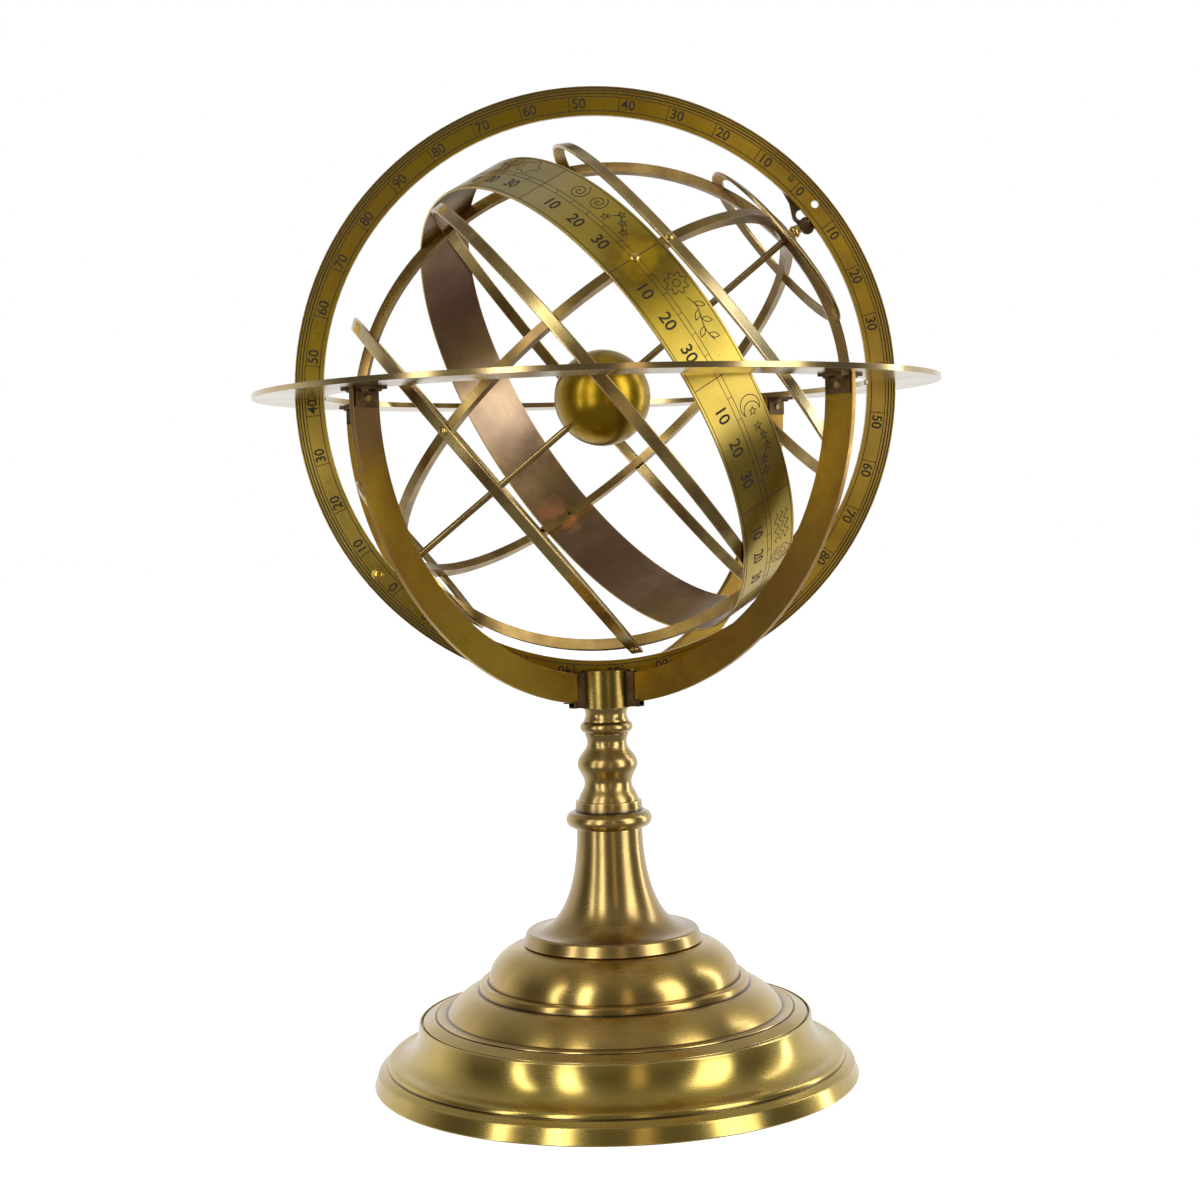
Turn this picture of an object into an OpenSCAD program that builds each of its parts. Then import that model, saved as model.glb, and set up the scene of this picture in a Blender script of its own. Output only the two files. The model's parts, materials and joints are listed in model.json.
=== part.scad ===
// Armillary sphere on a turned pedestal.
// A cage of celestial circles turns on a slanted polar rod inside a flat meridian
// ring. The meridian ring stands in two notches of a level horizon ring and in a
// slot of the post, and can be slid round to set the latitude.
// Millimetres, +Z up, origin on the table under the middle of the base.

/* [Base] */
// Radius of the base at the table
base_r = 107.6; // [106:0.1:109]
// Radius of the upper lip of the base foot
lip_r = 87.3; // [86.8:0.1:88]
// Height of the upper lip of the base foot
lip_z = 27.6; // [27:0.1:28]
// Outer radius of the step ring on the dome
step_r = 60.2; // [59.5:0.1:61]
// Outer radius of the flange under the trumpet
flange_r = 40; // [39:0.1:40.5]
// Height of the flange's lower edge
flange_z = 60.3; // [60:0.1:60.6]

/* [Column] */
// Radius of the trumpet's neck
neck_r = 14.6; // [14:0.1:15]
// Height of the trumpet's top
trumpet_top = 111; // [109:0.5:111.5]
// Height where the collar ends and the baluster starts
collar_top = 123.1; // [122.6:0.1:123.4]
// Height where the baluster ends and the slotted post starts
post_z = 164.8; // [164:0.1:165]
// Radius of the slotted post
post_r = 13.4; // [12.8:0.1:13.6]
// Height of the top of the post
post_top = 181.3; // [180:0.1:181.4]
// Radius of the threaded tie rod inside the column
tie_r = 4; // [3:0.1:4.1]

/* [Cradle] */
// Outer radius of the curved arms
arm_ro = 133.5; // [132.5:0.1:133.7]
// Width of the curved arms across the curve
arm_w = 13; // [12.6:0.1:13.4]
// Thickness of the arm plates
arm_t = 2.6; // [2:0.1:2.6]
// Height of the centre of the arms' curve
arm_z = 299.6; // [299:0.1:300]
// Direction of the front left arm, degrees from +X
arm_fl = 221.5; // [215:0.5:225]
// Direction of the front right arm, degrees from +X
arm_fr = 319; // [315:0.5:325]
// Direction of the back right arm, degrees from +X
arm_br = 46; // [40:0.5:50]
// Direction of the back left arm, degrees from +X
arm_bl = 150; // [140:0.5:150.5]

/* [Horizon ring] */
// Outer radius of the horizon ring
hor_ro = 150; // [145:0.5:155]
// Inner radius of the horizon ring
hor_ri = 119; // [119:0.1:119.4]
// Thickness of the horizon ring
hor_t = 2.3; // [2:0.1:2.5]
// Height of the horizon ring's underside
hor_z = 303.5; // [303.5:0.1:303.7]

/* [Meridian ring] */
// Height of the meridian ring's centre
mer_z = 304.75; // [304.7:0.05:304.8]
// Outer radius of the meridian ring
mer_ro = 132.3; // [131.5:0.1:132.4]
// Inner radius of the meridian ring
mer_ri = 119.7; // [119.6:0.1:120]
// Thickness of the meridian ring
mer_t = 2.85; // [2.5:0.05:2.9]

/* [Celestial cage] */
// Tilt of the polar axis above the horizon, degrees
altitude = 39; // [37:0.5:41]
// Turn of the cage about its axis, degrees
spin = -17.75; // [-30:0.25:30]
// Outer radius of the two colure rings
cage_r = 111.2; // [111:0.1:111.3]
// Radial depth of the two colure rings
colure_d = 4.6; // [4.4:0.1:5]
// Thickness of the two colure rings
colure_t = 3.8; // [3.4:0.1:4]
// Width of the straps that form the parallels
strap_w = 5.2; // [5:0.1:5.4]
// Thickness of those straps
strap_t = 1.5; // [1.3:0.1:1.6]
// Outer radius of the tropics and polar circles, which stand proud of the colures
strap_r = 112.3; // [112.1:0.1:112.4]
// Outer radius of the equator, which lies under the zodiac band
equator_r = 109.8; // [109.2:0.1:109.8]
// Height of the equator above the cage's centre, along the axis
equator_lift = 0.7; // [0:0.1:1]
// Declination of the two tropics, degrees
tropic = 31.8; // [31.4:0.1:32.5]
// Declination of the two polar circles, degrees
polar = 69; // [67:0.25:71]
// Slant of the zodiac band against the equator, degrees
slant = 22.5; // [21.5:0.25:22.75]
// Width of the zodiac band
band_w = 27.6; // [25:0.1:28]
// Thickness of the zodiac band
band_t = 1; // [0.8:0.1:1]
// Radius of the polar rod
rod_r = 1.55; // [1.4:0.05:1.6]
// Radius of the central globe
globe_r = 21.2; // [18:0.2:23]

/* [Hidden] */
$fn = 96;
// the cage's axis passes this far beside the meridian ring's centre
axis_side = 4.5;
// and the cage's centre is this far down that axis
axis_down = 2.8;
pole = [cos(altitude), 0, sin(altitude)];
up = [-sin(altitude), 0, cos(altitude)];
ring_mid = [0, 0, mer_z];
cage_mid = ring_mid - axis_side * up - axis_down * pole;
arm_angles = [arm_fl, arm_fr, arm_br, arm_bl];
arm_ri = arm_ro - arm_w;
arm_mid = arm_ro - arm_w / 2;
// half the distance between the two screws of a bracket
screw_side = 3.4;
band_ri = equator_r + 0.07;
mer_mid = (mer_ro + mer_ri) / 2;
// turn of the rivets that hold the two pivot plates, from the polar axis
north_pin = 6.4;
south_pin = 189;
// small gap between pieces that touch
fit = 0.05;
// side and radial gap round the sliding meridian ring
slip = 0.35;
// running clearance of the polar rod in its bearings
run = 0.05;
brass = [0.62, 0.49, 0.22];
dull = [0.45, 0.36, 0.2];
dark = [0.3, 0.23, 0.14];
gold = [0.72, 0.57, 0.27];
steel = [0.6, 0.6, 0.6];

// points of an elliptical arc about (cx, cy)
function arc(cx, cy, rx, ry, a0, a1, n = 16) =
    [for (i = [0:n]) let (a = a0 + (a1 - a0) * i / n) [cx + rx * cos(a), cy + ry * sin(a)]];
// points of a smooth wave from a to b that is flat at both ends
function wave(a, b, n = 10) =
    [for (i = [0:n]) let (s = i / n) [a[0] + (b[0] - a[0]) * (1 - cos(180 * s)) / 2,
                                      a[1] + (b[1] - a[1]) * s]];
function polar_at(r, a) = [r * cos(a), r * sin(a)];

module turned(points) {
    rotate_extrude() polygon(points);
}

module tube(ro, ri, h) {
    difference() {
        cylinder(r = ro, h = h);
        translate([0, 0, -1]) cylinder(r = ri, h = h + 2);
    }
}

// ---- pedestal ----

module base_foot() {
    cove = [for (i = [0:18]) let (a = 90 * i / 18)
            [base_r - 9.3 - (base_r - 9.3 - lip_r) * sin(a),
             12 + (lip_z - 12.6) * (1 - cos(a))]];
    color(brass) turned(concat(
        [[5, 22], [83, 22], [98, 6], [98, 0], [base_r - 0.4, 0], [base_r, 0.5],
         [base_r - 2.1, 6.2]],
        arc(base_r - 3.4, 5.9, 1.2, 1.2, 5, 75, 5),
        [[base_r - 5.3, 8.6], [base_r - 6.1, 8.7], [base_r - 6.4, 9.2]],
        arc(base_r - 7.9, 9.6, 1.9, 2, -5, 80, 8),
        cove,
        [[lip_r - 0.5, lip_z], [lip_r - 1, lip_z], [lip_r - 1, 26], [5, 26]]));
}

module base_cover() {
    color(dark) translate([0, 0, 0.6]) cylinder(r = 97.6, h = 1.6);
}

module base_dome() {
    top = flange_z - 0.2;
    color(brass) turned(concat(
        [[5, 26 + fit], [28, 26 + fit], [28, 52], [38, 52], [54, 37], [76, 26 + fit],
         [lip_r - 2, 26 + fit], [lip_r - 2, 27.6], [80.4, 29.8], [79.9, 29.4], [79.3, 29.6],
         [79.2, 30.3]],
        arc(step_r - 4, 13.2, 23.2, 28, 37.5, 74.5, 14),
        [[step_r, 40.4], [step_r - 0.3, 42.6]],
        arc(step_r - 1.5, 42.6, 1.2, 1.2, 0, 80, 6),
        [[56.8, 44], [56.4, 43.6], [55.8, 43.7]],
        arc(36.4, 43.7, 19.4, top - 43.7, 2, 77, 18),
        [[5, top]]));
}

module trumpet() {
    top = flange_z + 5;
    bell = [for (i = [0:30]) let (s = i / 30, a = 90 * s)
            [flange_r - 2.6 - (flange_r - 2.6 - neck_r) * pow(sin(a), 0.86),
             top + 0.5 + (trumpet_top - top - 0.5) * pow(1 - cos(a), 1.06)]];
    color(brass) turned(concat(
        [[5, flange_z + 20], [26, flange_z - 0.15], [flange_r - 0.4, flange_z - 0.15],
         [flange_r, flange_z + 0.3], [flange_r - 1.6, top - 0.4], [flange_r - 1.9, top]],
        bell,
        [[5, trumpet_top]]));
}

module collar() {
    color(brass) difference() {
        union() {
            translate([0, 0, trumpet_top + 3.85]) rotate_extrude()
                translate([15.3, 0]) circle(r = 3.8);
            translate([0, 0, trumpet_top + fit]) cylinder(r = 15.3, h = 7.7);
            translate([0, 0, trumpet_top + 7.4])
                cylinder(r1 = 15, r2 = 14.7, h = collar_top - trumpet_top - 7.4);
        }
        translate([0, 0, trumpet_top - 1]) cylinder(r = tie_r + 0.2, h = 20);
    }
}

module baluster() {
    color(brass) turned(concat(
        [[tie_r + 0.2, collar_top + fit], [13.3, collar_top + fit]],
        wave([13.2, collar_top + 0.4], [10.5, 130.8], 10),
        wave([10.5, 131.1], [13.4, 139.4], 12),
        wave([13.4, 139.7], [8.8, 148.9], 12),
        wave([8.8, 149.2], [9.7, 153.3], 6),
        arc(9.3, 155.8, 2.4, 2.5, -68, 64, 10),
        wave([10, 158.3], [9.2, 161.1], 6),
        wave([9.2, 161.4], [9.9, post_z - fit], 5),
        [[tie_r + 0.2, post_z - fit]]));
}

module arm_slots(w) {
    for (a = arm_angles) rotate([0, 0, a])
        translate([4.2, -w / 2, arm_z - arm_ro - 0.1]) cube([30, w, 40]);
}

module post() {
    color(brass) difference() {
        translate([0, 0, post_z]) cylinder(r = post_r, h = post_top - post_z);
        translate([0, 0, post_z - 1]) cylinder(r = tie_r + 0.2, h = 6.5);
        arm_slots(arm_t + 0.1);
        translate([-20, -mer_t / 2 - slip, mer_z - mer_ro - slip])
            cube([40, mer_t + 2 * slip, 30]);
    }
}

module arm_sockets() {
    color(dark) for (a = arm_angles) rotate([0, 0, a]) difference() {
        union() {
            translate([post_r - 1, -1.95, post_z + 0.6])
                cube([17.4 - post_r + 1, 3.9, post_top - post_z - 1]);
            translate([post_r - 1, -1.95, post_z + 0.6]) cube([20.4 - post_r + 1, 3.9, 3.2]);
        }
        translate([0, 0, post_z - 1]) cylinder(r = post_r + fit, h = 30);
        translate([0, -arm_t / 2 - fit, arm_z - arm_ro - 0.1]) cube([30, arm_t + 2 * fit, 40]);
    }
}

module tie_rod() {
    color(steel) translate([0, 0, 12]) cylinder(r = tie_r, h = post_z + 5.2 - 12);
}

module tie_nut() {
    color(steel) translate([0, 0, 14.4]) difference() {
        cylinder(r = 8, h = 6, $fn = 6);
        translate([0, 0, -1]) cylinder(r = tie_r + fit, h = 8);
    }
}

module tie_washer() {
    color(steel) translate([0, 0, 20.5]) tube(13, tie_r + 0.2, 1.45);
}

// ---- cradle ----

module arm(a) {
    color(brass) rotate([0, 0, a]) difference() {
        translate([0, arm_t / 2, arm_z]) rotate([90, 0, 0]) linear_extrude(arm_t)
            intersection() {
                difference() {
                    circle(r = arm_ro, $fn = 180);
                    circle(r = arm_ri, $fn = 180);
                }
                translate([6.6, -arm_ro - 1])
                    square([arm_ro, arm_ro + 1 + hor_z - fit - arm_z]);
            }
        translate([arm_mid, -arm_t, hor_z - 4.4]) rotate([-90, 0, 0])
            cylinder(r = 1.15, h = 2 * arm_t, $fn = 24);
    }
}

module arm_front_left() { arm(arm_fl); }
module arm_front_right() { arm(arm_fr); }
module arm_back_right() { arm(arm_br); }
module arm_back_left() { arm(arm_bl); }

// one L-shaped bracket on the +Y side of an arm that points along +X
module angle_bracket() {
    side = arm_t / 2 + fit;
    difference() {
        translate([arm_ri + 0.8, side, 0]) union() {
            translate([0, 0, hor_z - 8]) cube([arm_w - 1.6, 1, 8 - fit]);
            translate([0, 0, hor_z - 1 - fit]) cube([arm_w - 1.6, 6.6, 1]);
        }
        translate([arm_mid, side - 1, hor_z - 4.4]) rotate([-90, 0, 0])
            cylinder(r = 1.15, h = 4, $fn = 24);
        for (d = [-screw_side, screw_side]) translate([arm_mid + d, side + 3.9, hor_z - 3])
            cylinder(r = 0.95, h = 5, $fn = 24);
    }
}

module angle_brackets() {
    color(dark) for (a = arm_angles) rotate([0, 0, a]) {
        angle_bracket();
        mirror([0, 1, 0]) angle_bracket();
    }
}

// the sixteen screw positions on the horizon ring's underside
module screw_places() {
    for (a = arm_angles, s = [-1, 1], d = [-screw_side, screw_side]) rotate([0, 0, a])
        translate([arm_mid + d, s * (arm_t / 2 + fit + 3.9), hor_z]) children();
}

module bracket_screws() {
    color(dull) screw_places() {
        translate([0, 0, -1.9]) cylinder(r1 = 1.1, r2 = 1.6, h = 0.8, $fn = 24);
        translate([0, 0, -1.4]) cylinder(r = 0.85, h = hor_t + 1.35, $fn = 24);
    }
}

module bracket_rivets() {
    len = arm_t + 2 + 4 * fit;
    color(dull) for (a = arm_angles) rotate([0, 0, a]) translate([arm_mid, 0, hor_z - 4.4])
        rotate([90, 0, 0]) {
            cylinder(r = 1.05, h = len + 0.5, center = true, $fn = 24);
            for (s = [0, 1]) mirror([0, 0, s]) translate([0, 0, len / 2])
                cylinder(r1 = 1.8, r2 = 1.3, h = 0.5, $fn = 24);
        }
}

module horizon_ring() {
    notch = mer_t + 2 * slip;
    color(brass) difference() {
        translate([0, 0, hor_z]) tube(hor_ro, hor_ri, hor_t, $fn = 180);
        for (s = [0, 1]) mirror([s, 0, 0])
            translate([hor_ri - 4, -notch / 2, hor_z - 1])
                cube([mer_ro + slip + 4 - hor_ri, notch, hor_t + 2]);
        screw_places() translate([0, 0, -1]) cylinder(r = 0.95, h = hor_t + 2, $fn = 24);
    }
}

// ---- meridian ring and bearings ----

// lays a flat shape drawn in x and z about the ring's centre, from y0 to y0 + t
module upright(y0, t) {
    translate([0, y0 + t, mer_z]) rotate([90, 0, 0]) linear_extrude(t) children();
}

module meridian_ring() {
    holes = [polar_at(mer_mid, altitude - 0.5), polar_at(mer_mid, altitude + 179.5)];
    pins = [polar_at(mer_mid, altitude + north_pin), polar_at(mer_mid, altitude + south_pin)];
    color(brass) upright(-mer_t / 2, mer_t) difference() {
        circle(r = mer_ro, $fn = 180);
        circle(r = mer_ri, $fn = 180);
        for (h = holes) translate(h) circle(r = 1.7, $fn = 32);
        for (p = pins) translate(p) circle(r = 1.3, $fn = 24);
    }
}

// a point beside the polar axis: u across it and v along it, seen from the cage's centre
function by_axis(u, v) =
    let (q = cage_mid - ring_mid + u * up + v * pole) [q[0], q[2]];

// waisted plate behind the ring, with an eye and a tubular bearing on the polar axis
module pivot(pin, eye, lobe, v_hub, hub_len) {
    waist = 0.4 * pin + 0.6 * eye;
    color(dark) difference() {
        union() {
            upright(mer_t / 2 + fit, 1.4) difference() {
                union() {
                    hull() {
                        translate(pin) circle(r = 5.6, $fn = 32);
                        translate(waist) circle(r = 3.4, $fn = 32);
                    }
                    hull() {
                        translate(waist) circle(r = 3.4, $fn = 32);
                        translate(eye) circle(r = 3.9, $fn = 32);
                    }
                    translate(lobe) circle(r = 2.9, $fn = 32);
                }
                translate(eye) circle(r = 2.2, $fn = 32);
                translate(pin) circle(r = 1.3, $fn = 24);
            }
            along_axis(v_hub) cylinder(r = 2.4, h = hub_len, $fn = 48);
        }
        along_axis(v_hub) translate([0, 0, -1])
            cylinder(r = rod_r + run, h = hub_len + 2, $fn = 48);
    }
}

// moves to distance v along the polar axis, with local +Z pointing outwards
module along_axis(v) {
    translate(cage_mid + v * pole) rotate([0, 90 - altitude + (v < 0 ? 180 : 0), 0]) children();
}

module north_pivot() {
    pivot(polar_at(mer_mid, altitude + north_pin), by_axis(3.9, cage_r + 10.3),
          by_axis(-2.2, cage_r + 9), cage_r + 6.2, 4.2);
}

module south_pivot() {
    pivot(polar_at(mer_mid, altitude + south_pin), by_axis(-5.6, -cage_r - 6.9),
          by_axis(-1, -cage_r - 4.9), -cage_r - 2, 3);
}

module pivot_rivets() {
    color(dull) {
        for (a = [north_pin, south_pin]) {
            upright(-mer_t / 2 - 0.25, mer_t + 1.75) translate(polar_at(mer_mid, altitude + a))
                circle(r = 1.25, $fn = 24);
            upright(mer_t / 2 + 1.45 + fit, 0.8) translate(polar_at(mer_mid, altitude + a))
                circle(r = 2.3, $fn = 24);
        }
        upright(-mer_t / 2 - 0.7, mer_t + 0.9) translate(polar_at(mer_mid, altitude + 179.5))
            circle(r = 1.65, $fn = 32);
    }
}

// ---- celestial cage, drawn about its own centre with its axis along local Z ----

module in_cage() {
    translate(cage_mid) rotate([0, 90 - altitude, 0]) rotate([0, 0, 180 + spin]) children();
}

// strap that lies on a sphere of radius r at a declination, grown by g all round
module strap(dec, r, g = 0) {
    rotate_extrude($fn = 180) rotate(dec)
        translate([r - strap_t / 2, 0])
            square([strap_t + 2 * g, strap_w + 2 * g], center = true);
}

// cylindrical hoop about local Z, and with g the notch that seats it, open outwards
module hoop(ri, t, w, g = 0) {
    translate([0, 0, -w / 2 - g])
        tube(ri + t + (g > 0 ? 3 : 0), ri - g, w + 2 * g, $fn = 180);
}

module equator(g = 0) {
    translate([0, 0, equator_lift]) hoop(equator_r - strap_t, strap_t, strap_w, g);
}

module band(g = 0) {
    rotate([slant, 0, 0]) hoop(band_ri, band_t, band_w, g);
}

// the eight crossings of tropics and colures, with local +Z pointing outwards
module rivet_places() {
    for (lon = [0:90:270], d = [-tropic, tropic])
        rotate([0, 0, lon]) rotate([0, 90 - d, 0]) translate([0, 0, strap_r]) children();
}

// plate ring through both poles, halved on its outer or inner side where the other crosses
module colure(cross) {
    difference() {
        rotate([90, 0, cross ? 90 : 0]) translate([0, 0, -colure_t / 2])
            tube(cage_r, cage_r - colure_d, colure_t, $fn = 180);
        for (d = [tropic, -tropic, polar, -polar]) strap(d, strap_r, 0.08);
        equator(0.08);
        band(0.08);
        for (s = [-1, 1]) translate([0, 0, s * (cage_r - (cross ? 0 : colure_d))])
            cube([colure_t + 0.2, colure_t + 0.2, colure_d + 0.1], center = true);
        cylinder(r = rod_r + fit, h = 2 * cage_r + 2, center = true, $fn = 48);
        rivet_places() cylinder(r = 1, h = 14, center = true, $fn = 24);
        rotate([slant + 90, 0, 0])
            cylinder(r = 1, h = 2 * cage_r + 2, center = true, $fn = 24);
    }
}

module colure_main() { color(dull) in_cage() colure(false); }

module colure_cross() { color(dull) in_cage() colure(true); }

module equator_ring() { color(brass) in_cage() equator(); }

module drilled_tropic(dec) {
    color(brass) in_cage() difference() {
        strap(dec, strap_r);
        rivet_places() cylinder(r = 1, h = 6, center = true, $fn = 24);
    }
}

module tropic_north() { drilled_tropic(tropic); }

module tropic_south() { drilled_tropic(-tropic); }

module polar_north() { color(brass) in_cage() strap(polar, strap_r); }

module polar_south() { color(brass) in_cage() strap(-polar, strap_r); }

module zodiac_band() {
    color(brass) in_cage() difference() {
        band();
        rotate([slant + 90, 0, 0]) cylinder(r = 1, h = 2 * cage_r + 10, center = true, $fn = 24);
    }
}

module band_rivets() {
    color(gold) in_cage() rotate([slant, 0, 0]) for (s = [0, 1]) mirror([0, s, 0])
        rotate([-90, 0, 0]) {
            translate([0, 0, cage_r - colure_d + 0.2])
                cylinder(r = 0.95, h = band_ri + band_t + 0.3 - cage_r + colure_d, $fn = 24);
            translate([0, 0, band_ri + band_t + fit]) cylinder(r1 = 2.1, r2 = 1.5, h = 0.8, $fn = 32);
        }
}

module ring_rivets() {
    color(gold) in_cage() rivet_places() {
        translate([0, 0, -colure_d]) cylinder(r = 0.95, h = colure_d + 0.4, $fn = 24);
        translate([0, 0, fit]) cylinder(r1 = 2, r2 = 1.4, h = 0.8, $fn = 32);
    }
}

module polar_rod() {
    north = cage_r + 10;
    south = cage_r + 5.2;
    color(dull) in_cage() translate([0, 0, -south]) cylinder(r = rod_r, h = north + south, $fn = 48);
}

module globe() {
    color(gold) in_cage() translate([0, 0, 2.5]) difference() {
        sphere(r = globe_r, $fn = 128);
        sphere(r = globe_r - 1.4, $fn = 128);
        cylinder(r = rod_r + fit, h = 3 * globe_r, center = true, $fn = 48);
    }
}

// turned finial that clamps the colures on the rod at the north pole
module pole_finial() {
    color(gold) in_cage() translate([0, 0, cage_r + fit]) rotate_extrude() difference() {
        union() {
            square([3.7, 1.1]);
            square([2.2, 5.4]);
            translate([1.4, 3.1]) circle(r = 1.5, $fn = 32);
            translate([1.2, 5]) circle(r = 0.7, $fn = 24);
        }
        translate([-5, -1]) square([5 + rod_r + fit, 9]);
    }
}

// low nut at the south pole
module pole_nut() {
    color(gold) in_cage() translate([0, 0, -cage_r - fit - 1.5])
        tube(3.2, rod_r + fit, 1.5, $fn = 48);
}

base_foot();
base_cover();
base_dome();
trumpet();
collar();
baluster();
post();
arm_sockets();
tie_rod();
tie_nut();
tie_washer();
arm_front_left();
arm_front_right();
arm_back_right();
arm_back_left();
angle_brackets();
bracket_screws();
bracket_rivets();
horizon_ring();
meridian_ring();
north_pivot();
south_pivot();
pivot_rivets();
colure_main();
colure_cross();
equator_ring();
tropic_north();
tropic_south();
polar_north();
polar_south();
zodiac_band();
band_rivets();
ring_rivets();
polar_rod();
globe();
pole_finial();
pole_nut();
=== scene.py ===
# Looks of the armillary sphere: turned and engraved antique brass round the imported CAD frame.
import json
import math
import random

import bmesh
import bpy
from mathutils import Matrix, Vector


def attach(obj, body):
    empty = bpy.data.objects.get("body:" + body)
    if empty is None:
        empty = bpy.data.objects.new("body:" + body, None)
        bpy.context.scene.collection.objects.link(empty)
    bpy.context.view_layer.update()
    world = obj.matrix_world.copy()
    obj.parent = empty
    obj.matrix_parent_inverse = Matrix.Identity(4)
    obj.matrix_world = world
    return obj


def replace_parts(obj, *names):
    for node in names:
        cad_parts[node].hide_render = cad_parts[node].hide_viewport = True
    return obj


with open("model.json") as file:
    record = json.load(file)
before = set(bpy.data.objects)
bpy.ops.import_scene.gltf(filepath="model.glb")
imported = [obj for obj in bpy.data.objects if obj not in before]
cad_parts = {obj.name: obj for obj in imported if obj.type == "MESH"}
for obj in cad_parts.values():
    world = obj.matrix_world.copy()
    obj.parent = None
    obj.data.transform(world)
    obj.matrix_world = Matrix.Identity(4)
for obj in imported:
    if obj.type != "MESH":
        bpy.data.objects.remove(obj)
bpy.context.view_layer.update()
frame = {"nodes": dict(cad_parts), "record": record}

MM = 0.001

# ---- the design's own numbers, in millimetres and degrees ----

BASE_R, LIP_R, LIP_Z = 107.6, 87.3, 27.6
STEP_R, FLANGE_R, FLANGE_Z = 60.2, 40.0, 60.3
NECK_R, TRUMPET_TOP, COLLAR_TOP, POST_Z = 14.6, 111.0, 123.1, 164.8
TIE_BORE, FIT = 4.2, 0.05
ARM_MID_Z = 299.6
HORIZON_T, HORIZON_Z = 2.3, 303.5
MERIDIAN_Z, MERIDIAN_RO, MERIDIAN_RI, MERIDIAN_T = 304.75, 132.3, 119.7, 2.85
ALTITUDE, SPIN, SLANT = 39.0, -17.75, 22.5
AXIS_SIDE, AXIS_DOWN = 4.5, 2.8
SIGHT_HOLE_AT, SIGHT_HOLE_R, PLUG_AT = ALTITUDE - 0.5, 1.7, ALTITUDE + 179.5
STRAP_W, STRAP_T, STRAP_R = 5.2, 1.5, 112.3
EQUATOR_R, EQUATOR_LIFT = 109.8, 0.7
TROPIC, POLAR = 31.8, 69.0
BAND_RI, BAND_T, BAND_W = 109.87, 1.0, 27.6
BAND_RO = BAND_RI + BAND_T

X_AXIS, Y_AXIS, Z_AXIS = Vector((1, 0, 0)), Vector((0, 1, 0)), Vector((0, 0, 1))
POLE = Vector((math.cos(math.radians(ALTITUDE)), 0, math.sin(math.radians(ALTITUDE))))
ACROSS = Vector((-math.sin(math.radians(ALTITUDE)), 0, math.cos(math.radians(ALTITUDE))))
RING_MID = Vector((0, 0, MERIDIAN_Z))
CAGE_MID = RING_MID - AXIS_SIDE * ACROSS - AXIS_DOWN * POLE


def place(middle, x_axis, y_axis, z_axis):
    """Matrix that takes local millimetres to metres in the shared frame."""
    turn = Matrix((x_axis, y_axis, z_axis)).transposed().to_4x4()
    return Matrix.Translation(middle * MM) @ turn @ Matrix.Scale(MM, 4)


def polar(radius, degrees):
    """Flat x and y of a point at a radius and an angle."""
    return radius * math.cos(math.radians(degrees)), radius * math.sin(math.radians(degrees))


def turned_about(x_axis, y_axis, degrees):
    """The two axes after a turn in their own plane."""
    c, s = polar(1, degrees)
    return x_axis * c + y_axis * s, y_axis * c - x_axis * s


CAGE_X, CAGE_Y = turned_about(ACROSS, -Y_AXIS, SPIN)
ZODIAC_Y, ZODIAC_POLE = turned_about(CAGE_Y, POLE, SLANT)
UPRIGHT = place(Vector((0, 0, 0)), X_AXIS, Y_AXIS, Z_AXIS)
CAGE = place(CAGE_MID, CAGE_X, CAGE_Y, POLE)
ZODIAC = place(CAGE_MID, CAGE_X, ZODIAC_Y, ZODIAC_POLE)
MERIDIAN_FRONT = place(RING_MID, X_AXIS, Z_AXIS, -Y_AXIS)
MERIDIAN_BACK = place(RING_MID, -X_AXIS, Z_AXIS, Y_AXIS)
HORIZON_TOP = place(Vector((0, 0, HORIZON_Z + HORIZON_T)), X_AXIS, Y_AXIS, Z_AXIS)


# ---- turned pieces ----

# How far the dark of a hollow corner spreads along the metal, in millimetres.
HOLLOW_REACH = 2.6
# Corners that turn less than this, in degrees, belong to a curve and stay as they are.
LEAST_TURN = 14
SHARP_ANGLE = math.radians(50)


def new_piece(name, mesh, body, material):
    piece = bpy.data.objects.new(name, mesh)
    bpy.context.scene.collection.objects.link(piece)
    mesh.materials.append(material)
    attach(piece, body)
    return piece


def rounded(points, radius, steps=3):
    """Outline with its corners rounded off. A point's mark is + where it turns left, - right."""
    out = []
    count = len(points)
    for i in range(count):
        before, here, after = (Vector(points[(i + k) % count]) for k in (-1, 0, 1))
        into, away = here - before, after - here
        turn = -math.degrees(into.angle_signed(away)) if into.length and away.length else 0
        if abs(turn) < LEAST_TURN:
            out.append((here.x, here.y, 0.0))
            continue
        reach = min(radius * math.tan(math.radians(min(abs(turn), 150) / 2)),
                    0.4 * into.length, 0.4 * away.length)
        start, end = here - into.normalized() * reach, here + away.normalized() * reach
        mark = max(-1.0, min(1.0, turn / 60))
        fade = HOLLOW_REACH if turn < 0 else radius
        if into.length > 2 * (fade + reach):
            side = start - into.normalized() * fade
            out.append((side.x, side.y, 0.0))
        for k in range(steps + 1):
            s = k / steps
            p = start * (1 - s) ** 2 + here * (2 * s * (1 - s)) + end * s * s
            out.append((p.x, p.y, mark))
        if away.length > 2 * (fade + reach):
            side = end + away.normalized() * fade
            out.append((side.x, side.y, 0.0))
    return out


def mark_points(mesh, name, marks):
    layer = mesh.attributes.new(name, "FLOAT", "POINT")
    layer.data.foreach_set("value", [max(0.0, mark) for mark in marks])


def smooth(mesh):
    mesh.shade_smooth()
    mesh.set_sharp_from_angle(angle=SHARP_ANGLE)


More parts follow.
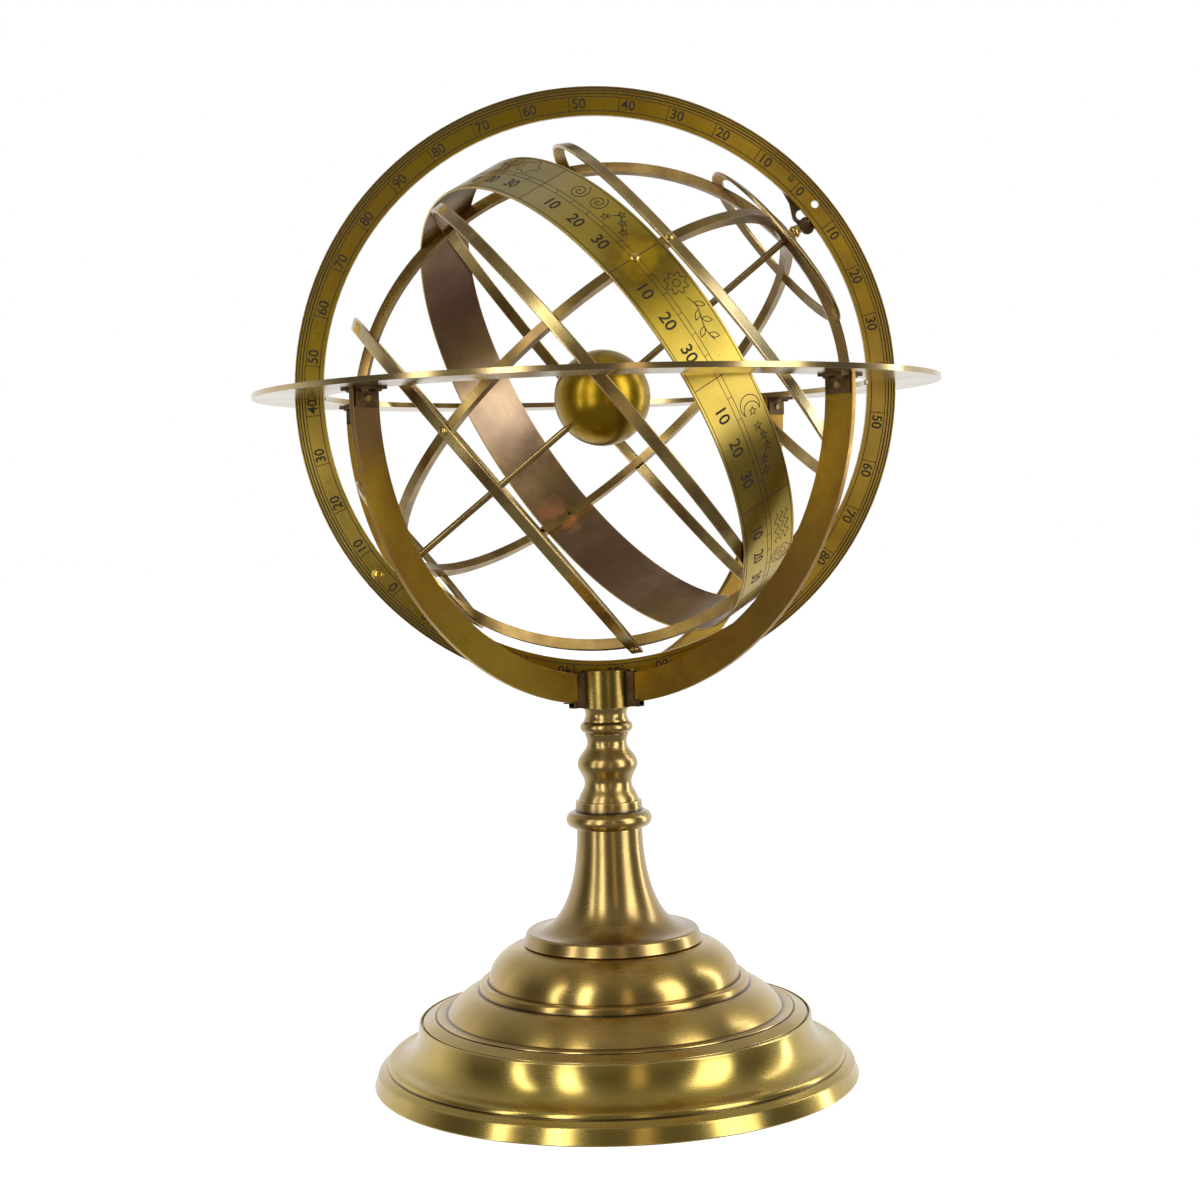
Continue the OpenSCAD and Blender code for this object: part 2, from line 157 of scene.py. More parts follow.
def revolve(name, outline, matrix, segments=256, corner=0.3):
    """Closed solid of revolution about local Z from a closed outline of radius and height."""
    loop = rounded(outline, corner)
    area = sum(a[0] * b[1] - b[0] * a[1] for a, b in zip(loop, loop[1:] + loop[:1]))
    sign = 1 if area > 0 else -1
    rows, count = [], len(loop)
    for j in range(segments):
        c, s = polar(1, 360 * j / segments)
        rows += [matrix @ Vector((r * c, r * s, z)) for r, z, _ in loop]
    faces = []
    for j in range(segments):
        k = (j + 1) % segments
        for i in range(count):
            m = (i + 1) % count
            face = (j * count + i, k * count + i, k * count + m, j * count + m)
            faces.append(face if sign > 0 else face[::-1])
    mesh = bpy.data.meshes.new(name)
    mesh.from_pydata(rows, [], faces)
    mark_points(mesh, "age", [-sign * mark for _, _, mark in loop] * segments)
    mark_points(mesh, "wear", [sign * mark for _, _, mark in loop] * segments)
    smooth(mesh)
    return mesh


def arc(cx, cy, rx, ry, a0, a1, n):
    """Points of an elliptical arc about (cx, cy)."""
    angles = [math.radians(a0 + (a1 - a0) * i / n) for i in range(n + 1)]
    return [(cx + rx * math.cos(a), cy + ry * math.sin(a)) for a in angles]


def wave(a, b, n):
    """Smooth S from a to b that is upright at both ends."""
    return [(a[0] + (b[0] - a[0]) * (1 - math.cos(math.pi * i / n)) / 2,
             a[1] + (b[1] - a[1]) * i / n) for i in range(n + 1)]


def foot_outline():
    out = BASE_R - 9.3
    cove = [(out - (out - LIP_R) * math.sin(math.radians(2.5 * i)),
             12 + (LIP_Z - 12.6) * (1 - math.cos(math.radians(2.5 * i)))) for i in range(37)]
    return ([(5, 22), (83, 22), (98, 6), (98, 0), (BASE_R - 0.4, 0), (BASE_R, 0.5),
             (BASE_R - 2.1, 6.2)]
            + arc(BASE_R - 3.4, 5.9, 1.2, 1.2, 5, 75, 8)
            + [(BASE_R - 5.3, 8.6), (BASE_R - 6.1, 8.7), (BASE_R - 6.4, 9.2)]
            + arc(BASE_R - 7.9, 9.6, 1.9, 2, -5, 80, 12)
            + cove
            + [(LIP_R - 0.5, LIP_Z), (LIP_R - 1, LIP_Z), (LIP_R - 1, 26), (5, 26)])


def dome_outline():
    low, top = 26 + FIT, FLANGE_Z - 0.2
    return ([(5, low), (28, low), (28, 52), (38, 52), (54, 37), (76, low), (LIP_R - 2, low),
             (LIP_R - 2, 27.6), (80.4, 29.8), (79.9, 29.4), (79.3, 29.6), (79.2, 30.3)]
            + arc(STEP_R - 4, 13.2, 23.2, 28, 37.5, 74.5, 28)
            + [(STEP_R, 40.4), (STEP_R - 0.3, 42.6)]
            + arc(STEP_R - 1.5, 42.6, 1.2, 1.2, 0, 80, 8)
            + [(56.8, 44), (56.4, 43.6), (55.8, 43.7)]
            + arc(36.4, 43.7, 19.4, top - 43.7, 2, 77, 30)
            + [(5, top)])


def trumpet_outline():
    top, wide = FLANGE_Z + 5, FLANGE_R - 2.6
    bell = []
    for i in range(61):
        a = math.pi / 2 * i / 60
        bell.append((wide - (wide - NECK_R) * math.sin(a) ** 0.86,
                     top + 0.5 + (TRUMPET_TOP - top - 0.5) * (1 - math.cos(a)) ** 1.06))
    return ([(5, FLANGE_Z + 20), (26, FLANGE_Z - 0.15), (FLANGE_R - 0.4, FLANGE_Z - 0.15),
             (FLANGE_R, FLANGE_Z + 0.3), (FLANGE_R - 1.6, top - 0.4), (FLANGE_R - 1.9, top)]
            + bell + [(5, TRUMPET_TOP)])


def collar_outline():
    low = TRUMPET_TOP + FIT
    return ([(TIE_BORE, low), (15.2, low)]
            + arc(15.3, TRUMPET_TOP + 3.85, 3.8, 3.75, -84, 84, 28)
            + [(15.0, TRUMPET_TOP + 7.6), (14.7, COLLAR_TOP), (TIE_BORE, COLLAR_TOP)])


def baluster_outline():
    low, top = COLLAR_TOP + FIT, POST_Z - FIT
    return ([(TIE_BORE, low), (13.3, low)]
            + wave((13.2, COLLAR_TOP + 0.4), (10.5, 130.8), 20)
            + wave((10.5, 131.1), (13.4, 139.4), 22)
            + wave((13.4, 139.7), (8.8, 148.9), 22)
            + wave((8.8, 149.2), (9.7, 153.3), 12)
            + arc(9.3, 155.8, 2.4, 2.5, -68, 64, 16)
            + wave((10, 158.3), (9.2, 161.1), 12)
            + wave((9.2, 161.4), (9.9, top), 8)
            + [(TIE_BORE, top)])


def turned_pieces(looks):
    for name, outline, look in (("base_foot", foot_outline(), "turned"),
                                ("base_dome", dome_outline(), "dome"),
                                ("trumpet", trumpet_outline(), "trumpet"),
                                ("collar", collar_outline(), "column"),
                                ("baluster", baluster_outline(), "column")):
        mesh = revolve(name + "_turned", outline, UPRIGHT)
        piece = new_piece(name + "_turned", mesh, "stand", looks[look])
        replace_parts(piece, name)


# ---- straps, band and rivets ----

STRAPS = {"equator_ring": (0, EQUATOR_R, EQUATOR_LIFT), "tropic_north": (TROPIC, STRAP_R, 0),
          "tropic_south": (-TROPIC, STRAP_R, 0), "polar_north": (POLAR, STRAP_R, 0),
          "polar_south": (-POLAR, STRAP_R, 0)}
# Rivet heads: radius and height. They sit this far above the metal, on these shanks.
RING_HEAD, BAND_HEAD = (2.0, 1.05), (2.15, 1.25)
SEAT, SHANK_R, SHANK_DEPTH = 0.02, 0.9, 2.2
# A turned solid starts this far from its axis, so that its middle stays a clean mesh.
CORE = 0.02


def strap_outline(declination, radius, lift):
    """Rectangular section of a strap, turned so that it lies on a sphere."""
    c, s = polar(1, declination)
    corners = [(radius - STRAP_T, -STRAP_W / 2), (radius, -STRAP_W / 2),
               (radius, STRAP_W / 2), (radius - STRAP_T, STRAP_W / 2)]
    return [(x * c - y * s, x * s + y * c + lift) for x, y in corners]


def strap_pieces(looks):
    for name, (declination, radius, lift) in STRAPS.items():
        outline = strap_outline(declination, radius, lift)
        mesh = revolve(name + "_strap", outline, CAGE, 288, 0.35)
        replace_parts(new_piece(name + "_strap", mesh, "cage", looks["cage"]), name)


def zodiac_hoop(looks):
    """The wide band, with its own look on the inner face."""
    half = BAND_W / 2
    section = [(BAND_RI, -half), (BAND_RO, -half), (BAND_RO, half), (BAND_RI, half)]
    mesh = revolve("zodiac_hoop", section, ZODIAC, 360, 0.25)
    hoop = new_piece("zodiac_hoop", mesh, "cage", looks["band"])
    mesh.materials.append(looks["band_inside"])
    inverse = ZODIAC.inverted()
    inner_edge = BAND_RI + BAND_T / 2 - 0.3
    for face in mesh.polygons:
        local = inverse @ face.center
        if math.hypot(local.x, local.y) < inner_edge:
            face.material_index = 1
    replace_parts(hoop, "zodiac_band")


def rivet_places():
    """Frames with local Z outwards at the strap crossings and on the zodiac band."""
    spots = []
    for longitude in range(0, 360, 90):
        for declination in (-TROPIC, TROPIC):
            side, _ = turned_about(CAGE_X, CAGE_Y, longitude)
            out, across = turned_about(side, POLE, declination)
            spots.append((out, across, STRAP_R, RING_HEAD))
    for sign in (-1, 1):
        spots.append((ZODIAC_Y * sign, ZODIAC_POLE, BAND_RO, BAND_HEAD))
    for out, across, radius, head in spots:
        yield place(CAGE_MID + out * radius, across.cross(out), across, out), head


def domed_rivets(looks):
    """Hammered round heads on short shanks, in place of the design's coned ones."""
    build = bmesh.new()
    for matrix, (head, height) in rivet_places():
        outline = ([(CORE, -SHANK_DEPTH), (SHANK_R, -SHANK_DEPTH), (SHANK_R, SEAT),
                    (head, SEAT), (head, 0.22)]
                   + arc(0, 0.22, head, height - 0.22, 8, 86, 9) + [(CORE, height)])
        build.from_mesh(revolve("rivet", outline, matrix, 28, 0.05))
    mesh = bpy.data.meshes.new("domed_rivets")
    build.to_mesh(mesh)
    build.free()
    smooth(mesh)
    piece = new_piece("domed_rivets", mesh, "cage", looks["rivet"])
    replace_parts(piece, "band_rivets", "ring_rivets")


def plug_head(looks):
    """Domed head over the plug in the meridian ring's southern hole."""
    x, z = polar(1, PLUG_AT)
    middle = Vector((x, 0, z)) * (MERIDIAN_RO + MERIDIAN_RI) / 2
    middle += RING_MID - Y_AXIS * MERIDIAN_T / 2
    outline = ([(CORE, -0.6), (1.5, -0.6), (1.5, -0.03), (2.7, -0.03), (2.7, 0.2), (2.2, 0.25)]
               + arc(0, 0.2, 2.1, 0.85, 8, 86, 9) + [(CORE, 1.05)])
    mesh = revolve("plug_head", outline, place(middle, X_AXIS, Z_AXIS, -Y_AXIS), 32, 0.08)
    new_piece("plug_head", mesh, "meridian", looks["meridian"])


# ---- engraving: lines and figures as thin strips of dark fill, sunk in the metal ----

LINE_PROUD, LINE_SUNK = 0.04, 0.08
# A font's capital height as a share of its size.
CAP_HEIGHT = 0.73
# Meridian scale: direction of the northern 0, edges of the degree boxes, and rim lines
# with their widths.
SCALE_ZERO = 43.7
BOX_IN, BOX_OUT = 121.6, 127.8
RIM_LINES = ((129.1, 0.55), (130.4, 0.5), (131.5, 0.5))
SCALE_LINE, SCALE_FIGURE_R, SCALE_FIGURE = 0.36, 124.6, 4.5
# Horizon scale: the circles' radii, where the short ticks start, and the figures.
TICK_IN, TICK_MID, TICK_OUT, HORIZON_EDGE = 134.6, 137, 140.0, 147.6
HORIZON_FIGURE_R, HORIZON_FIGURE = 143.8, 4.0
# Zodiac band: border lines, ladder between the two halves, figures and ornaments.
BORDER, LADDER = 12.6, 1.1
BAND_FIGURE, BAND_FIGURE_V, ORNAMENT_V = 5.4, -6.4, 6.8
ORNAMENT_LINE = 0.36


def ribbon(build, stroke, width, surface, closed=False):
    """Adds a thin closed strip along a stroke. surface(u, v, w) gives the place in metres."""
    points = [Vector(p) for p in stroke]
    count = len(points)
    sides = []
    for i, here in enumerate(points):
        before = points[i - 1] if i or closed else here
        after = points[(i + 1) % count] if i + 1 < count or closed else here
        into, away = (here - before).normalized(), (after - here).normalized()
        along = (into + away).normalized() if (into + away).length > 0.01 else away or into
        across = Vector((-along.y, along.x))
        known = into if into.length else away
        square = abs(across.dot(Vector((-known.y, known.x))))
        sides.append(across * (width / 2 / max(square, 0.5)))
    rings = []
    for here, side in zip(points, sides):
        quad = [(here + side, LINE_PROUD), (here - side, LINE_PROUD),
                (here - side, -LINE_SUNK), (here + side, -LINE_SUNK)]
        rings.append([build.verts.new(surface(p.x, p.y, w)) for p, w in quad])
    pairs = list(zip(rings, rings[1:])) + ([(rings[-1], rings[0])] if closed else [])
    for a, b in pairs:
        for k in range(4):
            build.faces.new((a[k], b[k], b[(k + 1) % 4], a[(k + 1) % 4]))
    if not closed:
        build.faces.new(rings[0])
        build.faces.new(rings[-1][::-1])


def numeral_shape(text, height):
    """Mesh of a number, centred, in millimetres, as thick as an engraved line is deep."""
    data = bpy.data.curves.new("numeral", "FONT")
    data.body = text
    data.size = height / CAP_HEIGHT
    data.align_x, data.align_y = "CENTER", "CENTER"
    data.extrude = (LINE_PROUD + LINE_SUNK) / 2
    data.resolution_u = 4
    data.offset = height * 0.02
    holder = bpy.data.objects.new("numeral", data)
    bpy.context.scene.collection.objects.link(holder)
    shape = bpy.data.meshes.new_from_object(
        holder.evaluated_get(bpy.context.evaluated_depsgraph_get()))
    bpy.data.objects.remove(holder)
    bpy.data.curves.remove(data)
    return shape


def add_numeral(build, shapes, text, height, at, degrees, surface):
    """Adds a number at a place (u, v), turned by degrees. shapes keeps those made before."""
    if (text, height) not in shapes:
        shapes[text, height] = numeral_shape(text, height)
    c, s = polar(1, degrees)
    lift = (LINE_PROUD - LINE_SUNK) / 2
    shape = shapes[text, height]
    made = []
    for point in shape.vertices:
        x, y, w = point.co
        made.append(build.verts.new(surface(at[0] + x * c - y * s, at[1] + x * s + y * c,
                                            w + lift)))
    for face in shape.polygons:
        build.faces.new([made[i] for i in face.vertices])


def engraved_piece(name, build, body, material):
    bmesh.ops.remove_doubles(build, verts=build.verts, dist=1e-7)
    bmesh.ops.recalc_face_normals(build, faces=build.faces)
    mesh = bpy.data.meshes.new(name)
    build.to_mesh(mesh)
    build.free()
    new_piece(name, mesh, body, material)


def circle(radius, steps=360):
    return [polar(radius, 360 * i / steps) for i in range(steps)]


def spoke(degrees, r0, r1):
    return [polar(r0, degrees), polar(r1, degrees)]


def broken_circle(radius, gap_middle, gap_radius, steps=720):
    """Runs of a circle that leave out what falls within a round hole."""
    points = circle(radius, steps)
    runs, run = [], []
    for point in points + points[:1]:
        if (Vector(point) - gap_middle).length < gap_radius:
            runs, run = runs + [run], []
        else:
            run.append(point)
    return [r for r in runs + [run] if len(r) > 1]


def meridian_scale(looks):
    """Quadrant scales on both faces: 0 at the poles and 90 half way between them."""
    shapes = {}
    for side, matrix, way in (("front", MERIDIAN_FRONT, 1), ("back", MERIDIAN_BACK, -1)):
        def surface(u, v, w):
            return matrix @ Vector((u, v, MERIDIAN_T / 2 + w))
        hole_x, hole_y = polar((MERIDIAN_RO + MERIDIAN_RI) / 2, SIGHT_HOLE_AT)
        hole = Vector((way * hole_x, hole_y))
        build = bmesh.new()
        for radius, width in ((BOX_IN, SCALE_LINE),) + RIM_LINES:
            ribbon(build, circle(radius), width, surface, closed=True)
        for run in broken_circle(BOX_OUT, hole, SIGHT_HOLE_R + 0.35):
            ribbon(build, run, SCALE_LINE, surface)
        for k in range(36):
            seen = SCALE_ZERO + 10 * k
            angle = seen if way > 0 else 180 - seen
            value = 10 * min(k % 18, 18 - k % 18)
            ribbon(build, spoke(angle, BOX_IN, BOX_OUT), SCALE_LINE, surface)
            middle = angle - way * (1.9 if value else 1.3)
            add_numeral(build, shapes, str(value), SCALE_FIGURE,
                        polar(SCALE_FIGURE_R, middle), middle - 90, surface)
        engraved_piece("meridian_scale_" + side, build, "meridian",
                       looks["engraved"])


def horizon_scale(looks):
    """Compass scale on the level ring: a tick every 5 degrees and a figure every 10."""
    shapes = {}
    build = bmesh.new()

    def surface(u, v, w):
        return HORIZON_TOP @ Vector((u, v, w))
    for radius in (TICK_IN, TICK_OUT, HORIZON_EDGE):
        ribbon(build, circle(radius), 0.3, surface, closed=True)
    for angle in range(0, 360, 5):
        tens = angle % 10 == 0
        ribbon(build, spoke(angle, TICK_IN if tens else TICK_MID, TICK_OUT), 0.25, surface)
        if tens:
            add_numeral(build, shapes, str(angle), HORIZON_FIGURE,
                        polar(HORIZON_FIGURE_R, angle), angle - 90, surface)
    engraved_piece("horizon_scale", build, "stand", looks["engraved"])


def band_surface(u, v, w):
    """u runs along the band in millimetres at its outer face, v towards the zodiac's pole."""
    x, y = polar(BAND_RO + w, math.degrees(u / BAND_RO))
    return ZODIAC @ Vector((x, y, v))


def along_band(degrees):
    return math.radians(degrees) * BAND_RO


# Ornaments are lists of (points, closed), in millimetres about the middle of a sector.

def star(x, y, radius, tips=5):
    points = []
    for i in range(2 * tips):
        dx, dy = polar(radius if i % 2 == 0 else radius * 0.42, 90 + 180 * i / tips)
        points.append((x + dx, y + dy))
    return points, True


def petal_ring(x, y, radius, petals, depth, steps=48, stretch=1.0):
    """Round outline with petals of a given depth."""
    points = []
    for i in range(steps):
        a = math.tau * i / steps
        r = radius * (1 + depth * math.cos(petals * a))
        points.append((x + stretch * r * math.cos(a), y + r * math.sin(a)))
    return points, True


def spiral(x, y, radius, turns=2.2, steps=40):
    points = []
    for i in range(steps + 1):
        dx, dy = polar(radius * i / steps, 360 * turns * i / steps)
        points.append((x + dx, y + dy))
    return points, False


def leaf(x, y, length, degrees, fat=0.22, steps=12):
    c, s = polar(1, degrees)
    rim = []
    for i in range(2 * steps):
        t = i / steps if i <= steps else 2 - i / steps
        side = (1 if i < steps else -1) * fat * length * math.sin(math.pi * t)
        rim.append((x + length * t * c - side * s, y + length * t * s + side * c))
    return rim, True


def sprig(x, y, length):
    """Stalk with leaves on both sides."""
    stalk = [(x + length * i / 12, y + 1.2 * math.sin(math.pi * i / 6)) for i in range(13)]
    leaves = [leaf(*stalk[k], 4.6, 50 if k % 4 else -50) for k in (2, 4, 6, 8, 10)]
    return [(stalk, False)] + leaves


def crescent(x, y, radius):
    outer = [polar(radius, 50 + 260 * i / 24) for i in range(25)]
    inner = [polar(0.82 * radius, 290 - 220 * i / 20) for i in range(1, 20)]
    return ([(x + dx, y + dy) for dx, dy in outer]
            + [(x + 0.45 * radius + dx, y + dy) for dx, dy in inner]), True


def ripples(x, y, length):
    return [([(x + length * i / 24, y + k * 2.6 + 1.1 * math.sin(math.pi * i / 4))
              for i in range(25)], False) for k in (-1, 0, 1)]


def star_chain(draw, x, length, count=5):
    """A few stars joined by lines, placed by the seeded draw."""
    spots = [(x + length * i / (count - 1), draw.uniform(-3.2, 3.2)) for i in range(count)]
    lines = [([a, b], False) for a, b in zip(spots, spots[1:])]
    return lines + [star(*spot, 1.9) for spot in spots]


def sector_figure(k, draw):
    """Plain ornament for the north half of sector k: six kinds in turn."""
    kind = k % 6
    if kind == 0:
        figure = [petal_ring(-11, 0, 4.2, 8, 0.2), petal_ring(-11, 0, 1.6, 1, 0)]
        figure += sprig(-4, 0, 20)
    elif kind == 1:
        figure = [crescent(-12, 0, 4.6), star(-9.6, 0.2, 1.8)] + star_chain(draw, -3, 19)
    elif kind == 2:
        figure = ripples(-18, 0, 17) + [spiral(8, 0, 4.4), petal_ring(8, 0, 5.0, 7, 0.08)]
    elif kind == 3:
        figure = [star(-12, 0, 4.8, 8), petal_ring(-12, 0, 1.5, 1, 0)]
        figure += star_chain(draw, -3, 19)
    elif kind == 4:
        figure = sprig(-18, 0, 20) + [petal_ring(10, 0, 4.2, 5, 0.22, stretch=1.4)]
    else:
        figure = [spiral(-13, -0.3, 4.6), spiral(-2, 0.3, 4.2)] + star_chain(draw, 6, 11, 4)
    return figure


def sector_marks(build, shapes, k, draw):
    """Dividing line, ladder rungs, the figures 10 to 30 and an ornament for sector k."""
    start, middle = 90 + 30 * k, along_band(105 + 30 * k)
    edge = along_band(start)
    ribbon(build, [(edge, -BORDER), (edge, BORDER)], 0.34, band_surface)
    for m in range(1, 6):
        rung = along_band(start + 5 * m)
        ribbon(build, [(rung, -LADDER), (rung, LADDER)], 0.26, band_surface)
    for m in range(3):
        at = (along_band(start + 7.2 + 7.8 * m), BAND_FIGURE_V)
        add_numeral(build, shapes, str(10 + 10 * m), BAND_FIGURE, at, 0, band_surface)
    for stroke, closed in sector_figure(k, draw):
        points = [(middle + x, ORNAMENT_V + y) for x, y in stroke]
        ribbon(build, points, ORNAMENT_LINE, band_surface, closed)


def zodiac_marks(looks):
    """Border lines, ladder and the twelve sectors on the band's outer face."""
    draw = random.Random(12)
    build = bmesh.new()
    for v, width in ((BORDER, 0.3), (-BORDER, 0.3), (LADDER, 0.24), (-LADDER, 0.24)):
        line = [(along_band(degrees), v) for degrees in range(360)]
        ribbon(build, line, width, band_surface, closed=True)
    shapes = {}
    for k in range(12):
        sector_marks(build, shapes, k, draw)
    engraved_piece("zodiac_marks", build, "cage", looks["engraved"])


# ---- materials ----

# Colours of dark in hollow corners, of dirt at their bottom and of rubbed edges.
HOLLOW_TONE, DIRT_TONE, RUBBED_TONE = (0.20, 0.105, 0.035), (0.035, 0.02, 0.008), (0.80, 0.62, 0.26)
# How far the streaks wander round the axis: small values make long lines.
STREAK_DRIFT = 1.1

# Tarnish, rubbed places and painted highlights, sheen and reflections: middle, full and zero reach
# in mm, strength and colour.
ARM_SPOTS = (((-45, -40, 180), 20, 60, 0.55, (0.62, 0.43, 0.05)),
             ((-95, -84, 292), 8, 26, 0.75, (0.22, 0.13, 0.07)),
             ((72, -62, 215), 12, 45, 0.6, (0.25, 0.13, 0.03)))
# The first place, bright gold at the lower left of the ring, is a painted highlight; the other two
# are patina, one brighter and one darker.
MERIDIAN_TARNISH_AND_HIGHLIGHT = (((-120, -1, 258), 22, 62, 0.8, (0.76, 0.53, 0.10)),
                  ((128, -1, 290), 15, 48, 0.55, (0.66, 0.47, 0.11)),
                  ((-105, -1, 370), 15, 60, 0.5, (0.27, 0.15, 0.02)))
# The first place, grey-olive at the upper front of the band, is a painted sheen; the others are
# tarnish and a brighter place round the rivet.
BAND_TARNISH_AND_SHEEN = (((-28, -68, 382), 12, 38, 0.6, (0.36, 0.31, 0.17)),
              ((62, -91, 276), 14, 38, 0.7, (0.26, 0.18, 0.035)),
              ((16, -97, 350), 9, 20, 0.8, (0.27, 0.15, 0.01)),
              ((16, -97, 350), 5, 11, 0.85, (0.66, 0.42, 0.015)))
# The third place, pale pink in the middle of the inner face, is a painted reflection of a lamp; the
# others are tarnish and two small copper spots.
BAND_INSIDE_TARNISH_AND_REFLECTION = (((6, 79, 223), 14, 46, 0.8, (0.15, 0.078, 0.045)),
                     ((-70, 62, 357), 12, 46, 0.7, (0.18, 0.095, 0.075)),
                     ((-44, 100, 302), 8, 32, 0.4, (0.44, 0.33, 0.26)),
                     ((-22, 97, 252), 2, 9, 0.9, (0.80, 0.33, 0.14)),
                     ((-12, 97, 246), 1, 6, 0.9, (0.85, 0.36, 0.15)))
# The second place, pale cream on the front strap, is a painted highlight; the first is a darker
# place round the north pole.
STRAP_TARNISH_AND_HIGHLIGHT = (((81, 0, 365), 38, 62, 0.65, (0.20, 0.125, 0.055)),
               ((70, -88, 306), 20, 58, 0.65, (0.86, 0.74, 0.44)))
COLURE_SPOTS = (((81, 0, 365), 38, 70, 0.5, (0.17, 0.10, 0.045)),)


def rgb(r, g, b):
    return (r, g, b, 1.0)


def feed(tree, socket, value):
    """Links a socket to an input, or sets the input to a constant."""
    if isinstance(value, bpy.types.NodeSocket):
        tree.links.new(value, socket)
    else:
        socket.default_value = value


def add(tree, kind, inputs=None, **settings):
    made = tree.nodes.new("ShaderNode" + kind)
    for key, value in settings.items():
        setattr(made, key, value)
    for key, value in (inputs or {}).items():
        feed(tree, made.inputs[key], value)
    return made


def vec(tree, operation, a, b=None, out="Vector"):
    made = add(tree, "VectorMath", {0: a} if b is None else {0: a, 1: b}, operation=operation)
    return made.outputs[out]


def math_node(tree, operation, a, b, clamp=False):
    made = add(tree, "Math", {0: a, 1: b}, operation=operation)
    made.use_clamp = clamp
    return made.outputs[0]


def remap(tree, value, low, high, to_low, to_high):
    made = add(tree, "MapRange", {"Value": value, "From Min": low, "From Max": high,
                                  "To Min": to_low, "To Max": to_high})
    return made.outputs[0]


def mix(tree, factor, a, b):
    """Colour a, or b where the factor is 1. These inputs share their names, so they go by place."""
    made = add(tree, "Mix", data_type="RGBA")
    for place_in_list, value in ((0, factor), (6, a), (7, b)):
        feed(tree, made.inputs[place_in_list], value)
    return made.outputs[2]


def noise(tree, vector, scale, detail=3.0, rough=0.55):
    made = add(tree, "TexNoise", {"Vector": vector, "Scale": scale, "Detail": detail,
                                  "Roughness": rough})
    return made.outputs["Fac"]


def hoop_space(tree, middle, axis):
    """Place on the object, then distance from the axis, height, and directions out and round."""
    here = add(tree, "TexCoord").outputs["Object"]
    offset = vec(tree, "SUBTRACT", here, tuple(middle))
    height = vec(tree, "DOT_PRODUCT", offset, tuple(axis), "Value")
    rise = add(tree, "VectorMath", {0: tuple(axis), "Scale": height},
               operation="SCALE").outputs["Vector"]
    flat = vec(tree, "SUBTRACT", offset, rise)
    radius = vec(tree, "LENGTH", flat, None, "Value")
    outward = vec(tree, "NORMALIZE", flat)
    around = vec(tree, "CROSS_PRODUCT", tuple(axis), outward)
    return here, radius, height, outward, around


def streaks(tree, radius, height, outward, fine):
    """Fine lines that run round the axis, as a lathe or a brush leaves them."""
    split = add(tree, "SeparateXYZ", {0: outward})
    drift = [math_node(tree, "MULTIPLY", split.outputs[i], STREAK_DRIFT) for i in range(3)]
    a = math_node(tree, "ADD", math_node(tree, "MULTIPLY", radius, fine), drift[0])
    b = math_node(tree, "ADD", math_node(tree, "MULTIPLY", height, fine), drift[1])
    lines = add(tree, "CombineXYZ", {0: a, 1: b, 2: drift[2]}).outputs[0]
    return noise(tree, lines, 1.0, 1.0, 0.5)


def tarnished(tree, tone, here, spots):
    """Larger places of another colour, with ragged borders: tarnish, and painted highlights, sheen
    and reflections.
    """
    border = remap(tree, noise(tree, here, 160.0), 0.3, 0.7, -3 * MM, 3 * MM)
    for centre, near, far, strength, colour in spots:
        distance = vec(tree, "DISTANCE", here, tuple(Vector(centre) * MM), "Value")
        ragged = math_node(tree, "ADD", distance, border)
        reach = remap(tree, ragged, near * MM, far * MM, strength, 0.0)
        tone = mix(tree, reach, tone, rgb(*colour))
    return tone


def corner_toned(tree, tone):
    """Dark in hollow corners, dirt at their bottom, rubbed metal on proud edges."""
    hollow = add(tree, "Attribute", attribute_name="age").outputs["Fac"]
    wear = add(tree, "Attribute", attribute_name="wear").outputs["Fac"]
    dirt = math_node(tree, "POWER", hollow, 5.0, True)
    tone = mix(tree, math_node(tree, "MULTIPLY", hollow, 0.5, True), tone, rgb(*HOLLOW_TONE))
    tone = mix(tree, dirt, tone, rgb(*DIRT_TONE))
    tone = mix(tree, math_node(tree, "MULTIPLY", wear, 0.4, True), tone, rgb(*RUBBED_TONE))
    return tone, dirt


def ridged_normal(tree, here, lines, ridges):
    """Brushed lines over a faint unevenness of the whole surface."""
    bump = add(tree, "Bump", {"Height": lines, "Strength": ridges, "Distance": 0.08 * MM})
    soft = add(tree, "Bump", {"Height": noise(tree, here, 90.0, 2.0), "Strength": 0.02,
                              "Distance": 0.8 * MM, "Normal": bump.outputs[0]})
    return soft.outputs[0]


def new_material(name):
    material = bpy.data.materials.new(name)
    material.use_nodes = True
    return material, material.node_tree, material.node_tree.nodes["Principled BSDF"]


